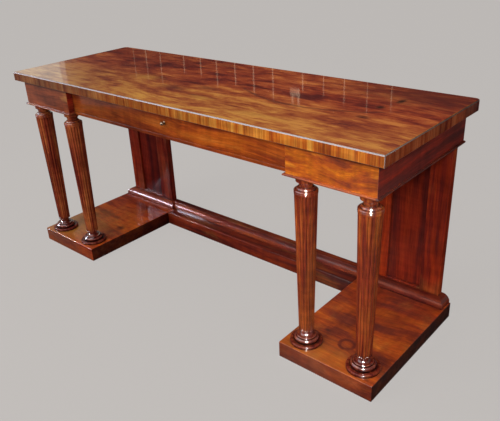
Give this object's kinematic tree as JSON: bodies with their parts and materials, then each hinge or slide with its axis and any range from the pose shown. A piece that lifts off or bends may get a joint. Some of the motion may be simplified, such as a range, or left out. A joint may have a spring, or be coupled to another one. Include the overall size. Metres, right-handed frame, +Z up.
{
  "type": "pier table",
  "caption": "Long serving table with end platforms, paired reeded columns in front, panelled pilasters behind, one sliding frieze drawer and a moulded rear stretcher.",
  "frame": {"origin": "on the floor, under the middle of the top", "axes": "+X along the table's length towards its right end, -Y towards the front, where the columns and the drawer are, +Z up"},
  "size_m": [1.98, 0.68, 0.9],
  "materials": {
    "top_figured_mahogany": "french polished, gloss",
    "crossband_mahogany": "cross grained strip, french polished, gloss",
    "frieze_mahogany": "french polished, gloss",
    "nosing_mahogany": "rounded edge, french polished, gloss",
    "column_mahogany": "turned and reeded, french polished, gloss",
    "pilaster_mahogany": "french polished, gloss",
    "panel_mahogany": "flat panel, french polished, gloss",
    "moulding_mahogany": "moulded, french polished, gloss",
    "platform_mahogany": "worn, french polished",
    "carcass_pine": "unpolished, aged",
    "drawer_oak": "planed, aged, satin",
    "brass": "aged, polished",
    "iron": "dull, bare"
  },
  "bodies": {
    "carcass": {"back_rail": "carcass_pine", "drawer_bearer": "frieze_mahogany", "drawer_kickers": "carcass_pine", "drawer_runners": "carcass_pine", "drawer_stops": "carcass_pine", "glue_blocks": "carcass_pine", "kicker_rail": "carcass_pine", "left_base_moulding_front": "moulding_mahogany", "left_base_moulding_inner": "moulding_mahogany", "left_base_moulding_outer": "moulding_mahogany", "left_frieze_front": "frieze_mahogany", "left_frieze_inner": "frieze_mahogany", "left_frieze_outer": "frieze_mahogany", "left_head_block": "carcass_pine", "left_inner_column": "column_mahogany", "left_nosing_board": "nosing_mahogany", "left_outer_column": "column_mahogany", "left_pilaster_bottom_rail": "pilaster_mahogany", "left_pilaster_inner_stile": "pilaster_mahogany", "left_pilaster_outer_stile": "pilaster_mahogany", "left_pilaster_panel": "panel_mahogany", "left_pilaster_top_rail": "pilaster_mahogany", "left_platform": "platform_mahogany", "plinth_dowels": "carcass_pine", "plinth_rail": "platform_mahogany", "right_base_moulding_front": "moulding_mahogany", "right_base_moulding_inner": "moulding_mahogany", "right_base_moulding_outer": "moulding_mahogany", "right_frieze_front": "frieze_mahogany", "right_frieze_inner": "frieze_mahogany", "right_frieze_outer": "frieze_mahogany", "right_head_block": "carcass_pine", "right_inner_column": "column_mahogany", "right_nosing_board": "nosing_mahogany", "right_outer_column": "column_mahogany", "right_pilaster_bottom_rail": "pilaster_mahogany", "right_pilaster_inner_stile": "pilaster_mahogany", "right_pilaster_outer_stile": "pilaster_mahogany", "right_pilaster_panel": "panel_mahogany", "right_pilaster_top_rail": "pilaster_mahogany", "right_platform": "platform_mahogany", "stretcher_moulding": "moulding_mahogany", "stretcher_upstand": "moulding_mahogany", "top_board": "top_figured_mahogany", "top_front_crossband": "crossband_mahogany", "top_left_crossband": "crossband_mahogany", "top_right_crossband": "crossband_mahogany", "top_screws": "iron"},
    "drawer": {"drawer_back": "drawer_oak", "drawer_front": "frieze_mahogany", "drawer_knob": "brass", "drawer_left_bottom": "drawer_oak", "drawer_left_side": "drawer_oak", "drawer_muntin": "drawer_oak", "drawer_right_bottom": "drawer_oak", "drawer_right_side": "drawer_oak", "knob_nut": "brass"}
  },
  "joints": [
    {"name": "drawer_slide", "type": "slide", "parent": "carcass", "child": "drawer", "axis": [0, -1, 0], "range_m": [0, 0.35]}
  ]
}
